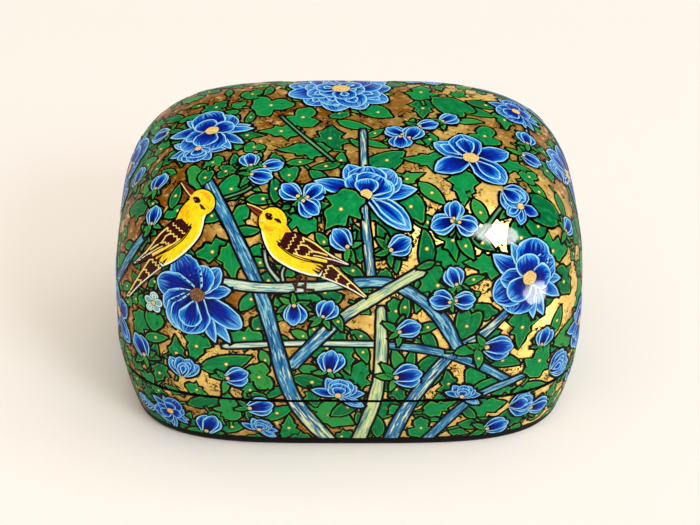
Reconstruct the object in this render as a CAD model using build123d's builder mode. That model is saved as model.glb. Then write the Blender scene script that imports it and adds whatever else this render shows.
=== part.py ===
"""A lidded papier-mache box: a shallow base, an inner collar and a deep, cushion-shaped lid.

Every level outline of the box is a superellipse. The skin is widest a little above the seam,
draws in towards the foot below it, and closes over the top in one dome above it.
"""

from math import cos, pi, radians, sin
import os

from build123d import *

# Outer skin, in millimetres
length = 150.0
width = 106.0
height = 88.0
widest_height = 24.0

# How far the foot draws in, as a share of the widest outline, and how the skin curves down to it
foot_draw_in = 0.062
foot_curve = 1.45

# How square the outlines are, seen from above and from the side: 2 would be an ellipse
plan_squareness = 3.8
dome_squareness = 3.9

# The cut between the base and the lid, and the walls
seam_height = 19.5
base_wall = 2.9
lid_wall = 2.6
floor_thickness = 3.5

# The collar is glued inside the base, and the lid slides over what stands above the seam
collar_thickness = 1.8
collar_rise = 6.5
glue_gap = 0.1
collar_inset = base_wall + glue_gap

# Worn edges
rim_chamfer = 0.4
foot_chamfer = 0.8
collar_chamfer = 0.6

# How finely the curves are followed
outline_points = 48
side_steps = 4
dome_steps = 12
crown_angle = 83.0


def superellipse_reach(turn, squareness):
    """How far a unit circle's point at this angle lies outside the unit superellipse."""
    return (abs(cos(turn)) ** squareness + abs(sin(turn)) ** squareness) ** (1 / squareness)


def outline(z, half_length, half_width):
    """A level superellipse at height z."""
    points = []
    for index in range(outline_points):
        turn = 2 * pi * index / outline_points
        reach = superellipse_reach(turn, plan_squareness)
        points.append((half_length * cos(turn) / reach, half_width * sin(turn) / reach))
    with BuildSketch(Plane.XY.offset(z)) as level:
        with BuildLine():
            Spline(*points, periodic=True)
        make_face()
    return level.sketch


def side_outline(z, inset):
    """The outline at or below the widest height, inset from the skin."""
    share = 1 - foot_draw_in * ((widest_height - z) / widest_height) ** foot_curve
    return outline(z, length / 2 * share - inset, width / 2 * share - inset)


def side(low, high, inset):
    """Outlines of the side of the box, from one height to another."""
    step = (high - low) / side_steps
    return [side_outline(low + step * index, inset) for index in range(side_steps + 1)]


def dome(low, inset):
    """Outlines of the lid: one at its low edge, one at the widest height, and on up the dome."""
    outlines = [side_outline(low, inset), side_outline(widest_height, inset)]
    rise = height - inset - widest_height
    for index in range(1, dome_steps + 1):
        turn = radians(crown_angle * index / dome_steps)
        reach = superellipse_reach(turn, dome_squareness)
        share = cos(turn) / reach
        z = widest_height + rise * sin(turn) / reach
        outlines.append(outline(z, (length / 2 - inset) * share, (width / 2 - inset) * share))
    return outlines


# The lid: a hollow dome that rests on the base's rim
with BuildPart() as lid_cavity:
    loft(dome(seam_height, lid_wall))

with BuildPart() as lid_shell:
    lid_edge = seam_height + rim_chamfer
    loft(dome(lid_edge, 0))
    loft([side_outline(seam_height, rim_chamfer), side_outline(lid_edge, 0)], ruled=True)
    add(lid_cavity.part, mode=Mode.SUBTRACT)

# The base: a shallow tray with a flat underside
with BuildPart() as base_cavity:
    loft(side(floor_thickness, seam_height, base_wall))

with BuildPart() as base_shell:
    base_edge = seam_height - rim_chamfer
    loft(side(foot_chamfer, base_edge, 0))
    loft([side_outline(0, foot_chamfer), side_outline(foot_chamfer, 0)], ruled=True)
    loft([side_outline(base_edge, 0), side_outline(seam_height, rim_chamfer)], ruled=True)
    add(base_cavity.part, mode=Mode.SUBTRACT)

# The collar: a strip that lines the base and stands up inside the lid
with BuildPart() as collar_core:
    core_inset = collar_inset + collar_thickness
    loft(side(floor_thickness, seam_height, core_inset))
    with BuildSketch(Plane.XY.offset(seam_height)):
        add(side_outline(seam_height, core_inset))
    extrude(amount=collar_rise)

with BuildPart() as inner_collar:
    loft(side(floor_thickness, seam_height, collar_inset))
    with BuildSketch(Plane.XY.offset(seam_height)):
        add(side_outline(seam_height, collar_inset))
    extrude(amount=collar_rise)
    collar_top = inner_collar.faces().sort_by(Axis.Z)[-1]
    chamfer(collar_top.edges(), length=collar_chamfer)
    add(collar_core.part, mode=Mode.SUBTRACT)

os.makedirs("parts", exist_ok=True)

lid_shell.part.label = "lid_shell"
export_step(lid_shell.part, "parts/lid_shell.step")

base_shell.part.label = "base_shell"
export_step(base_shell.part, "parts/base_shell.step")

inner_collar.part.label = "inner_collar"
export_step(inner_collar.part, "parts/inner_collar.step")
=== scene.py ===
"""A Kashmiri papier mache box: flowers, leaves, branches and birds in lacquered paint.

The box's skin is one formula, so everything painted on it is laid out on that formula. A motif is
a thin sheet of paint with its own outline. Its black keyline, pale edge and brush streaks are
drawn by its material from what each of its points knows: how far it is across the stroke, along
it, and in from its edge. Lengths are in millimetres until a mesh is made.
"""

from dataclasses import dataclass
from itertools import count
from math import cos, pi, radians, sin

import bmesh
import bpy
import numpy as np
from mathutils import Matrix, Vector


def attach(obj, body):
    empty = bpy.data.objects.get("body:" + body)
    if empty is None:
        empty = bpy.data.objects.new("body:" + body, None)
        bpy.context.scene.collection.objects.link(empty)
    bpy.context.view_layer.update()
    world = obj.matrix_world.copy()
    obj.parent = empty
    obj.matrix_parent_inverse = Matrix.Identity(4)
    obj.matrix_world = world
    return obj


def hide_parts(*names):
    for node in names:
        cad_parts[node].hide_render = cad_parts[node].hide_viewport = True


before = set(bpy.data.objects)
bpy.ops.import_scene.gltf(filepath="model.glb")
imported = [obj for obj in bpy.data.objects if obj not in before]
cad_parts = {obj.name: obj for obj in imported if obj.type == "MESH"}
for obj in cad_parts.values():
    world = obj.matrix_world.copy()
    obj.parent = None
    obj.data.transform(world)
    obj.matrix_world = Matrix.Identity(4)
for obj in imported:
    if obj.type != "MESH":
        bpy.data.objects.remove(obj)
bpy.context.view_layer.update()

chance = np.random.default_rng(11)


# ---- The skin of the box ----

half_length = 75.0
half_width = 53.0
height = 88.0
widest = 24.0
seam = 19.5
foot_draw_in = 0.062
foot_curve = 1.45
plan_square = 3.8
dome_square = 3.9
lid_wall = 2.6
base_wall = 2.9
floor_top = 3.5
rim_chamfer = 0.4
foot_chamfer = 0.8

# Painted bands: bare black foot, and the black line along the seam
foot_band = 3.0
seam_line = 0.5

# The middle that the box's sides are seen from, a distance that is outside the skin every way, and
# how many times a search for the skin halves that distance
look_from = np.array([0.0, 0.0, 40.0])
beyond_skin = 120.0
halvings = 40

# How far below the finished skin each coat of paint lies, and how far apart its sheets are
ground_depth = 0.5
coats = {
    "leaf": (-0.44, 0.021),
    "wood": (-0.315, 0.0095),
    "front": (-0.25, 0.007),
    "bloom": (-0.23, 0.011),
    "over": (-0.101, 0.003),
    "bird": (-0.095, 0.007),
}


def skin_and_slope(points):
    """How far outside the skin each point is, as a share of the box, and how that grows."""
    x, y, z = points.T
    across = np.abs(x / half_length)
    deep = np.abs(y / half_width)
    plan = np.maximum((across**plan_square + deep**plan_square) ** (1 / plan_square), 1e-6)
    plan_x = np.sign(x) * (across / plan) ** (plan_square - 1) / half_length
    plan_y = np.sign(y) * (deep / plan) ** (plan_square - 1) / half_width
    rise = np.clip((z - widest) / (height - widest), 0, None)
    whole = (plan**dome_square + rise**dome_square) ** (1 / dome_square)
    drop = np.clip((widest - z) / widest, 0, None)
    gap = whole - 1 + foot_draw_in * drop**foot_curve
    level = (plan / whole) ** (dome_square - 1)
    steep = (rise / whole) ** (dome_square - 1) / (height - widest)
    steep = steep - foot_draw_in * foot_curve * drop ** (foot_curve - 1) / widest
    return gap, np.stack([level * plan_x, level * plan_y, steep], axis=1)


def unit(vectors):
    """The same directions, one long."""
    return vectors / np.maximum(np.linalg.norm(vectors, axis=-1, keepdims=True), 1e-12)


def onto_skin(points, tries=5):
    """The points moved onto the skin."""
    for _ in range(tries):
        gap, slope = skin_and_slope(points)
        points = points - slope * (gap / (slope**2).sum(axis=1))[:, None]
    return points


def outward(points):
    """The skin's normals at these points."""
    return unit(skin_and_slope(points)[1])


def walk(starts, moves, steps=6):
    """Where one arrives on the skin from each start, going as far and in the direction of its move."""
    distance = np.linalg.norm(moves, axis=1, keepdims=True)
    heading = unit(moves)
    place = onto_skin(starts)
    for _ in range(steps):
        normal = outward(place)
        heading = unit(heading - (heading * normal).sum(axis=1, keepdims=True) * normal)
        place = onto_skin(place + heading * distance / steps, tries=3)
    return place


def direction_to(azimuth, elevation):
    """One long, in a direction from the box's middle. Azimuth 0 is the front, 90 the right."""
    turn = radians(azimuth)
    lift = radians(elevation)
    return np.array([sin(turn) * cos(lift), -cos(turn) * cos(lift), sin(lift)])


def facing(azimuth, elevation):
    """The skin's point in this direction from the box's middle."""
    direction = direction_to(azimuth, elevation)
    near, far = 0.0, beyond_skin
    for _ in range(halvings):
        reach = (near + far) / 2
        inside = skin_and_slope((look_from + direction * reach)[None])[0][0] < 0
        near, far = (reach, far) if inside else (near, reach)
    return look_from + direction * near


# ---- The camera, and where its pixels fall on the skin ----

photo_width = 700
photo_height = 525
focal_pixels = 2247.0
camera_elevation = radians(34.0)
camera_distance = 733.5
camera_roll = 0.0139
box_turn = 0.0208
aim = np.array([0.44, 0.0, 36.2])

# Where along a ray the skin is looked for, counted from the aim's distance: at how many places, and
# how many times the last step is then halved
search_near = -130.0
search_far = 110.0
search_places = 97
search_halvings = 14

toward = np.array([0, -cos(camera_elevation), sin(camera_elevation)])
level_right = np.array([1.0, 0.0, 0.0])
level_up = np.array([0, sin(camera_elevation), cos(camera_elevation)])
turned_right = cos(camera_roll) * level_right + sin(camera_roll) * level_up
turned_up = -sin(camera_roll) * level_right + cos(camera_roll) * level_up
eye = aim + toward * camera_distance

# The box stands turned a little to the camera, so the camera goes round it instead
unturn = np.array([
    [cos(box_turn), sin(box_turn), 0],
    [-sin(box_turn), cos(box_turn), 0],
    [0, 0, 1],
])
eye, toward, turned_right, turned_up = (unturn @ part for part in (eye, toward, turned_right, turned_up))


def seen(pixels):
    """The skin's points under these pixels of the photograph's frame."""
    pixels = np.asarray(pixels, dtype=float)
    sideways = (pixels[:, 0] - photo_width / 2) / focal_pixels
    upward = (photo_height / 2 - pixels[:, 1]) / focal_pixels
    rays = unit(sideways[:, None] * turned_right + upward[:, None] * turned_up - toward)
    reaches = np.linspace(camera_distance + search_near, camera_distance + search_far, search_places)
    places = eye + rays[:, None, :] * reaches[None, :, None]
    gaps = skin_and_slope(places.reshape(-1, 3))[0].reshape(len(rays), -1)
    inside = gaps < 0
    first = np.where(inside.any(axis=1), inside.argmax(axis=1), gaps.argmin(axis=1))
    far = reaches[first]
    near = far - (reaches[1] - reaches[0]) * inside.any(axis=1)
    for _ in range(search_halvings):
        middle = (near + far) / 2
        within = skin_and_slope(eye + rays * middle[:, None])[0] < 0
        far = np.where(within, middle, far)
        near = np.where(within, near, middle)
    return onto_skin(eye + rays * far[:, None])


# ---- Sheets of paint ----

# A sheet without a fold has it further in than any edge, and a rim counts as this much further across
no_fold = 99.0
rim_across = 0.2


@dataclass
class Sheet:
    """One sheet of paint, and what each of its points knows."""

    starts: np.ndarray
    moves: np.ndarray
    faces: list
    across: np.ndarray
    along: np.ndarray
    edge: np.ndarray
    level: float
    seed: float = 0.0
    tone: float = 0.0
    fold: float = no_fold
    colour: tuple = (0.0, 0.0, 0.0)
    layout: np.ndarray = None


def grid_faces(rows, columns):
    """Quads between rows of points."""
    faces = []
    for row in range(rows - 1):
        for column in range(columns - 1):
            corner = row * columns + column
            faces.append((corner, corner + 1, corner + columns + 1, corner + columns))
    return faces


def round_faces(rows, number):
    """Quads between closed rows of points."""
    faces = []
    for row in range(rows - 1):
        for index in range(number):
            here = row * number + index
            beside = row * number + (index + 1) % number
            faces.append((here, beside, beside + number, here + number))
    return faces


def lengths_along(line):
    """How far along a line each of its points is."""
    steps = np.linalg.norm(np.diff(line, axis=0), axis=1)
    return np.concatenate([[0], np.cumsum(steps)])


def ribbon(centres, sides, half_widths, columns, rim, open_start=False):
    """A stroke along centres, with a rim round it. Gives its rows' middles, offsets, faces and edges.

    An open start has no rim, because something lies over it.
    """
    lengths = lengths_along(centres)
    whole = lengths[-1]
    after = centres[-1] + unit(centres[-1] - centres[-2]) * rim
    centres = np.vstack([centres, after])
    sides = np.vstack([sides, sides[-1]])
    half_widths = np.append(half_widths, half_widths[-1])
    lengths = np.append(lengths, whole + rim)
    if not open_start:
        before = centres[0] - unit(centres[1] - centres[0]) * rim
        centres = np.vstack([before, centres])
        sides = np.vstack([sides[0], sides])
        half_widths = np.append(half_widths[0], half_widths)
        lengths = np.append(-rim, lengths)
    inner = np.linspace(-1, 1, columns + 1)
    share = np.concatenate([[-1], inner, [1]])
    extra = np.concatenate([[-rim], inner * 0, [rim]])
    offset = half_widths[:, None] * share + extra
    to_side = half_widths[:, None] * (1 - np.abs(share)) - np.abs(extra)
    to_end = (whole - lengths)[:, None]
    edge = np.minimum(to_side, to_end)
    if not open_start:
        edge = np.minimum(edge, lengths[:, None])
    across = np.broadcast_to(share + np.sign(extra) * rim_across, edge.shape)
    along = np.broadcast_to((lengths / whole)[:, None], edge.shape)
    middles = np.repeat(centres, len(share), axis=0)
    moves = np.repeat(sides, len(share), axis=0) * offset.reshape(-1, 1)
    faces = grid_faces(len(lengths), len(share))
    return middles, moves, faces, across.ravel(), along.ravel(), edge.ravel()


def smooth_line(points, spacing):
    """A smooth line through the points, with points about this far apart."""
    points = np.asarray(points, dtype=float)
    ends = np.vstack([2 * points[0] - points[1], points, 2 * points[-1] - points[-2]])
    line = []
    for index in range(1, len(ends) - 2):
        before, start, end, after = ends[index - 1 : index + 3]
        steps = max(int(np.linalg.norm(end - start) / spacing), 1)
        for step in range(steps):
            t = step / steps
            line.append(
                0.5 * (2 * start + (end - before) * t
                + (2 * before - 5 * start + 4 * end - after) * t**2
                + (3 * start - before - 3 * end + after) * t**3)
            )
    return np.array([*line, points[-1]])


def tangent_frame(place, heading):
    """Right and up on the skin at place, with up going along heading as nearly as it can."""
    normal = outward(place[None])[0]
    up = unit(heading - heading @ normal * normal)
    return np.cross(up, normal), up


def turned(points, angle):
    """Flat points turned anticlockwise."""
    c, s = cos(angle), sin(angle)
    return points @ np.array([[c, s], [-s, c]])


def distance_to_line(points, line):
    """How far each flat point is from a line of points."""
    starts = line[:-1]
    spans = line[1:] - starts
    offsets = points[:, None] - starts[None]
    share = (offsets * spans).sum(axis=2) / np.maximum((spans**2).sum(axis=1), 1e-12)
    nearest = starts + np.clip(share, 0, 1)[:, :, None] * spans
    return np.linalg.norm(points[:, None] - nearest, axis=2).min(axis=1)


def flat_stroke(centres, half_widths, columns, rim, open_start=False):
    """A stroke in the flat."""
    ahead = unit(np.gradient(centres, axis=0))
    sides = np.stack([ahead[:, 1], -ahead[:, 0]], axis=1)
    stroke = ribbon(centres, sides, half_widths, columns, rim, open_start)
    middles, moves, faces, across, along, edge = stroke
    points = middles + moves
    reach = sides * half_widths[:, None]
    outline = np.vstack([centres - reach, (centres + reach)[::-1]])
    if not open_start:
        outline = np.vstack([outline, outline[:1]])
    inside = edge > 0
    edge[inside] = distance_to_line(points[inside], outline)
    return points, faces, across, along, edge


def flat_blob(radii, rings, rim):
    """A star-shaped sheet in the flat, with its reach given all round from the right."""
    number = len(radii)
    turns = 2 * pi * np.arange(number) / number
    rays = np.stack([np.cos(turns), np.sin(turns)], axis=1)
    outline = rays * radii[:, None]
    beside = np.roll(outline, -1, axis=0) - np.roll(outline, 1, axis=0)
    slant = (unit(np.stack([beside[:, 1], -beside[:, 0]], axis=1)) * rays).sum(axis=1)
    points = [outline + rays * (rim / np.clip(slant, 0.55, 1))[:, None], outline]
    points += [outline * share for share in rings]
    points.append(np.zeros((1, 2)))
    points = np.vstack(points)
    edge = distance_to_line(points, np.vstack([outline, outline[:1]]))
    edge[:number] = -np.mean(rim)
    faces = round_faces(len(rings) + 2, number)
    last = (len(rings) + 1) * number
    faces += [(last + index, last + (index + 1) % number, last + number) for index in range(number)]
    size = radii.max()
    return points, faces, points[:, 0] / size, points[:, 1] / size, edge


def brush_at(place, heading, coat):
    """A brush for flat drawings at a place on the skin, with up going along heading, in a coat."""
    right, up = tangent_frame(place, heading)
    low, step = coats[coat]

    def brush(drawing, order, finer=1.0, **facts):
        """A sheet at this order in the coat. Finer makes its brims and streaks that much narrower."""
        points, faces, across, along, edge = drawing
        starts = np.repeat(place[None], len(points), axis=0)
        moves = points[:, :1] * right + points[:, 1:] * up
        level = low + step * order
        return Sheet(starts, moves, faces, across, along, edge * finer, level, layout=points, **facts)

    return brush


def shifted(drawing, angle, move):
    """A flat drawing turned, then moved."""
    points, *rest = drawing
    return (turned(points, angle) + np.asarray(move), *rest)


# ---- Leaves ----

leaf_rim = 0.8
leaf_corners = 48
dotted_share = 0.6
stalked_share = 0.6

# Half widths along a leaf, from its stalk at -1 to its tip at 1, both as shares of half its length
leaf_outlines = {
    "ivy": [
        (-1.0, 0.05), (-0.86, 0.14), (-0.76, 0.34), (-0.6, 0.42), (-0.44, 0.5), (-0.26, 0.66),
        (-0.14, 0.5), (-0.06, 0.34), (0.1, 0.36), (0.26, 0.42), (0.32, 0.28), (0.6, 0.16), (1.0, 0.0),
    ],
    "oak": [
        (-0.95, 0.05), (-0.86, 0.26), (-0.8, 0.56), (-0.6, 0.5), (-0.36, 0.56), (-0.14, 0.86),
        (-0.02, 0.66), (0.02, 0.4), (0.22, 0.42), (0.42, 0.5), (0.5, 0.34), (0.72, 0.2), (1.0, 0.0),
    ],
    "clover": [
        (-0.85, 0.08), (-0.76, 0.36), (-0.62, 0.66), (-0.36, 0.82), (-0.1, 0.78), (0.02, 0.5),
        (0.06, 0.34), (0.3, 0.44), (0.62, 0.42), (0.86, 0.22), (1.0, 0.0),
    ],
    "heart": [
        (-0.7, 0.0), (-0.96, 0.2), (-0.95, 0.46), (-0.64, 0.64), (-0.14, 0.64), (0.32, 0.52),
        (0.64, 0.28), (0.86, 0.12), (1.0, 0.0),
    ],
}


def outlined_leaf(size, outline):
    """A leaf from its half widths along it, a little uneven from side to side."""
    turns = 2 * pi * np.arange(leaf_corners) / leaf_corners
    from_tip = np.abs((turns + pi / 2) % (2 * pi) - pi)
    reach = np.zeros(leaf_corners)
    for side in (1, -1):
        points = np.array(outline)
        points[1:-1] *= chance.uniform(0.9, 1.1, (len(points) - 2, 1))
        line = smooth_line(points, 0.05)
        angles = np.arctan2(line[:, 1], line[:, 0])
        order = np.argsort(angles)
        mine = np.cos(turns) * side > -1e-9
        reach[mine] = np.interp(from_tip[mine], angles[order], np.linalg.norm(line, axis=1)[order])
    rings = (0.84, 0.68, 0.5, 0.33, 0.16) if size > 6 else (0.7, 0.4)
    rim = leaf_rim * min(max(size / 4.5, 0.6), 1.0)
    return flat_blob(size * reach, rings, rim * chance.uniform(0.75, 1.3, leaf_corners))


def lance_leaf(size, bend):
    """A narrow leaf on a bent midrib."""
    share = np.linspace(0, 1, 8)
    centres = np.stack([bend * size * (share - 0.5) ** 2 * 2, size * (share * 1.9 - 0.95)], axis=1)
    belly = np.sin(pi * share**0.8) ** 0.8
    return flat_stroke(centres, np.maximum(size * 0.36 * belly, 0.1), columns=4, rim=leaf_rim)


def leaf(place, heading, size, kind, level, dotted, coat):
    """A leaf, its stalk, and the pale dot on it, as sheets."""
    brush = brush_at(place, heading, coat)
    seed = chance.uniform(0, 50)
    tone = chance.uniform(0, 1)
    if kind == "lance":
        drawing = lance_leaf(size, chance.uniform(-0.35, 0.35))
    else:
        drawing = outlined_leaf(size, leaf_outlines[kind])
    sheets = [brush(drawing, level, seed=seed, tone=tone)]
    if coat != "over" and chance.random() < stalked_share:
        bend = chance.uniform(-1.2, 1.2)
        stalk_line = smooth_line([(0, -size * 0.6), (bend * 0.4, -size * 1.1), (bend, -size * 1.5)], 1.2)
        stalk = flat_stroke(stalk_line, np.full(len(stalk_line), 0.3), columns=2, rim=0.6)
        sheets.append(brush(stalk, level - 0.5, seed=seed, tone=0.2))
    if dotted:
        dot = flat_blob(np.full(10, 0.4 + size * 0.03), rings=(), rim=0.2)
        sheets.append(brush(dot, level + 0.5, seed=seed, tone=3.0))
    return sheets


def free_level(place, radius, others):
    """The lowest level that no motif touching this one has. Others are places, radii and levels."""
    taken = set()
    for other_place, other_radius, other_level in others:
        if np.linalg.norm(other_place - place) < radius + other_radius:
            taken.add(other_level)
    return next(level for level in count() if level not in taken)


# ---- Petals, blooms and buds ----

petal_rim = 0.18
halo_rim = 0.95
bud_halo_rim = 0.75

# The half width, in millimetres, of a bloom painted with plain strokes, and how much finer buds are
plain_bloom = 13.0
bud_finer = 1.3

# Where along a petal, as a share of its length, it is widest
petal_belly = 0.58

# A bud's petals from their angles, lengths and half widths, and the angles of its sepals
bud_petals = [(-17, 0.9, 0.36), (17, 0.9, 0.36), (0, 0.98, 0.3)]
sepal_angles = (-115, -60, 62, 118, 180)

# Petals from their angles from up, lengths and half widths as shares of the bloom's half width, and
# points, each laid over the one before. Where the last number is 1, a smaller petal is drawn in it
petal_tables = {
    # Five broad pointed petals
    "star": [
        (128, 1.0, 0.31, 0.6, 0), (-64, 1.0, 0.31, 0.65, 0), (60, 1.02, 0.31, 0.6, 1),
        (8, 0.98, 0.37, 0.45, 1), (-138, 1.12, 0.38, 0.4, 1),
    ],
    # Broad round petals, with narrow pointed ones showing beyond them
    "rose": [
        (-106, 1.0, 0.16, 0.75, 0), (-122, 1.1, 0.17, 0.75, 0), (-158, 1.16, 0.16, 0.7, 0),
        (-172, 1.14, 0.14, 0.7, 0), (60, 1.14, 0.22, 0.7, 0), (26, 1.02, 0.17, 0.8, 0),
        (-64, 0.8, 0.4, 0.1, 0), (-12, 0.95, 0.47, 0.1, 0), (152, 0.98, 0.48, 0.1, 0),
        (116, 1.0, 0.42, 0.15, 0), (88, 0.74, 0.27, 0.3, 0), (6, 0.62, 0.34, 0.1, 0),
        (-95, 0.6, 0.32, 0.1, 0), (136, 0.7, 0.35, 0.1, 0),
    ],
    # Broad loose petals, the lowest ones longest
    "peony": [
        (-152, 1.3, 0.15, 0.7, 0), (-164, 1.2, 0.16, 0.7, 0), (-128, 1.18, 0.25, 0.1, 0),
        (-80, 0.72, 0.16, 0.5, 0), (-40, 0.78, 0.22, 0.3, 0), (-8, 0.72, 0.27, 0.2, 0),
        (28, 0.95, 0.33, 0.2, 0), (74, 0.95, 0.32, 0.2, 0), (122, 0.88, 0.36, 0.1, 0),
        (148, 1.0, 0.42, 0.1, 0), (171, 1.04, 0.42, 0.1, 1),
    ],
    # A cup of petals seen from the side, with longer ones spreading from under it
    "lotus": [
        (24, 0.92, 0.24, 0.5, 0), (64, 1.0, 0.19, 0.75, 0), (-84, 1.0, 0.21, 0.75, 0),
        (-124, 1.08, 0.21, 0.5, 1), (-62, 0.8, 0.25, 0.3, 0), (-36, 0.8, 0.33, 0.1, 0),
        (-6, 0.76, 0.36, 0.1, 0), (-58, 0.56, 0.27, 0.1, 0), (26, 0.56, 0.27, 0.1, 0),
        (-18, 0.56, 0.37, 0.0, 0), (-10, 0.4, 0.25, 0.0, 0),
    ],
}

# Rings of petals from their number, length and half width as shares of the bloom's half width,
# point and level, the first one's angle, how far round they spread, and how far in their folds are
petal_rings = {
    "daisy": [
        (11, 1.0, 0.28, 0.15, 1, 8.0, 360.0, 0.55), (9, 0.76, 0.27, 0.15, 4, 0.0, 360.0, 0.55),
        (6, 0.5, 0.25, 0.1, 7, 20.0, 360.0, 0.6),
    ],
    "primrose": [(5, 1.0, 0.4, 0.0, 1, 0.0, 360.0, 0.45)],
    "tulip": [
        (4, 0.92, 0.3, 0.5, 1, 0.0, 76.0, 0.45), (2, 0.86, 0.3, 0.3, 4, 0.0, 34.0, 0.45),
        (1, 0.7, 0.27, 0.4, 7, 0.0, 0.0, 0.45),
    ],
}

# A bloom's middle: its half width as a share of the bloom's, its level, and its tone
bloom_middles = {
    "star": (0.19, 7, 5.0),
    "rose": (0.18, 10.7, 5.0),
    "peony": (0.16, 9, 6.0),
    "daisy": (0.17, 10, 5.0),
    "lotus": (0.12, 9, 5.0),
    "primrose": (0.22, 7, 5.0),
}


def petal(length, half_width, pointed, bend=0.0, angle=0.0, shift=0.0, base=0.34, rim=petal_rim):
    """A petal that grows from the middle at an angle from up. Pointed runs from 0, round, to 1."""
    rows = np.sin(np.linspace(0, pi / 2, 13 if length > 9 else 9)) ** 0.92
    rising = base + (1 - base) * np.sin(pi / 2 * np.minimum(rows / petal_belly, 1))
    falling = np.clip((rows - petal_belly) / (1 - petal_belly), 0, 1)
    closing = (1 - falling ** (2.2 - 0.7 * pointed)) ** (0.5 + 0.5 * pointed)
    uneven = 1 + chance.normal(0, 0.03, len(rows))
    widths = np.maximum(half_width * rising * closing * uneven, 0.12)
    centres = np.stack([bend * length * rows**2, length * rows], axis=1)
    centres = turned(centres, radians(angle)) + [0, shift]
    return flat_stroke(centres, widths, columns=8 if half_width > 3 else 6, rim=rim, open_start=True)


def ring_of_petals(number, length, half_width, pointed, level, first, spread, double):
    """Petals round a middle, as (petal's shape, level, fold). Spread under 360 fans them about up."""
    petals = []
    closed = spread == 360.0
    for index in range(number):
        if closed:
            angle = first + 360.0 * index / number
        else:
            angle = first + spread * (index / max(number - 1, 1) - 0.5)
        angle += chance.normal(0, 3)
        reach = length * chance.uniform(0.88, 1.08)
        wide = half_width * chance.uniform(0.88, 1.12)
        shape = (reach, wide, pointed, chance.normal(0, 0.06), angle)
        order = 2 if closed and number % 2 and index == number - 1 else index % 2
        fold = wide * double if chance.random() < 0.5 else no_fold
        petals.append((shape, level + order, fold))
    return petals


def chosen_petals(shapes, size):
    """Petals from a table, as (petal's shape, level, fold)."""
    petals = []
    for order, (angle, length, half_width, pointed, double) in enumerate(shapes):
        angle += chance.normal(0, 3)
        wide = size * half_width * chance.uniform(0.94, 1.06)
        shape = (size * length * chance.uniform(0.96, 1.04), wide, pointed, chance.normal(0, 0.06), angle)
        petals.append((shape, 1 + order * 0.7, wide * 0.42 if double else no_fold))
    return petals


def bloom(place, heading, kind, size):
    """A bloom as petal sheets and the sheets of its middle."""
    brush = brush_at(place, heading, "bloom")
    petals = chosen_petals(petal_tables.get(kind, []), size)
    for number, length, half_width, *others in petal_rings.get(kind, []):
        petals += ring_of_petals(number, size * length, size * half_width, *others)
    finer = 1.0 if kind == "primrose" else min(max(plain_bloom / size, 1.0), 2.0)
    sheets = []
    for shape, order, fold in petals:
        seed = chance.uniform(0, 50)
        tone = 7.0 if kind == "primrose" else chance.uniform(0, 1)
        sheets.append(brush(petal(*shape), order, finer, seed=seed, tone=tone, fold=fold * finer))
        if shape[0] > size * 0.7:
            sheets.append(brush(petal(*shape, rim=halo_rim), 0, tone=9.0))
    if kind in bloom_middles:
        share, top, tone = bloom_middles[kind]
        radii = size * share * (1 + 0.06 * np.sin(np.arange(14) * 2.4))
        middle = flat_blob(radii, rings=(0.5,), rim=0.18)
        sheets.append(brush(middle, top, tone=tone))
    return sheets


def bud(place, heading, size):
    """A bud: petals closing upward from green sepals. Gives its blue sheets and its green ones."""
    brush = brush_at(place, heading, "bloom")
    foot = -size * 0.45
    blue = []
    for order, (angle, reach, wide) in enumerate(bud_petals):
        shape = (size * reach, size * wide, 0.3, 0.0, angle + chance.normal(0, 4), foot, 0.55)
        blue.append(brush(petal(*shape, rim=bud_halo_rim), 0, tone=9.0))
        drawing = petal(*shape)
        facts = {"seed": chance.uniform(0, 50), "tone": chance.uniform(0, 1)}
        blue.append(brush(drawing, 1 + order, bud_finer, **facts))
    dot = shifted(flat_blob(np.full(10, size * 0.085), rings=(), rim=0.15), 0, (0, -size * 0.42))
    blue.append(brush(dot, 4.5, tone=5.0))
    green = []
    brush = brush_at(place, heading, "front")
    for angle in sepal_angles:
        turn = angle + chance.normal(0, 10)
        reach = size * chance.uniform(0.5, 0.8)
        drawing = shifted(lance_leaf(reach * 0.52, chance.uniform(-0.3, 0.3)), 0, (0, reach * 0.55))
        drawing = shifted(drawing, radians(turn), (0, foot))
        facts = {"seed": chance.uniform(0, 50), "tone": chance.uniform(0, 1)}
        green.append(brush(drawing, angle > 0, **facts))
    return blue, green


# ---- Branches ----

branch_rim = 0.7

# Branches wider than this have more columns of points, and narrow to blunt ends
thick = 1.5
blunt = 0.62


def branch(line, width, taper, tone, level):
    """A branch along a line of points on the skin.

    Taper is its far end's width over its near end's, and tone its colours at its near and far ends.
    """
    line = onto_skin(line)
    sides = np.cross(unit(np.gradient(line, axis=0)), outward(line))
    share = np.linspace(0, 1, len(line))
    rough = np.convolve(chance.normal(0, 0.06, len(line) + 2), [0.25, 0.5, 0.25], "valid")
    gnarl = 1 + 0.07 * np.sin(share * len(line) * 0.4 + chance.uniform(0, 6)) + rough
    widths = width / 2 * (1 + (taper - 1) * share) * gnarl
    if width > thick:
        widths[[0, -1]] *= blunt
    low, step = coats["wood"]
    columns = 4 if width > thick else 2
    middles, moves, faces, across, along, edge = ribbon(line, sides, widths, columns, branch_rim)
    length = np.linalg.norm(np.diff(line, axis=0), axis=1).sum()
    layout = np.stack([across * width, along * length], axis=1)
    return Sheet(
        middles, moves, faces, across, along * length, edge, low + step * level,
        seed=chance.uniform(0, 50), tone=np.interp(along, [0, 1], tone), layout=layout,
    )


# ---- Birds ----

# How many of a bird's own units its edges count as a millimetre, and its narrowest stroke and rim
bird_units = 3.1
hair = 0.25
bird_rim = 0.05

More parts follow.
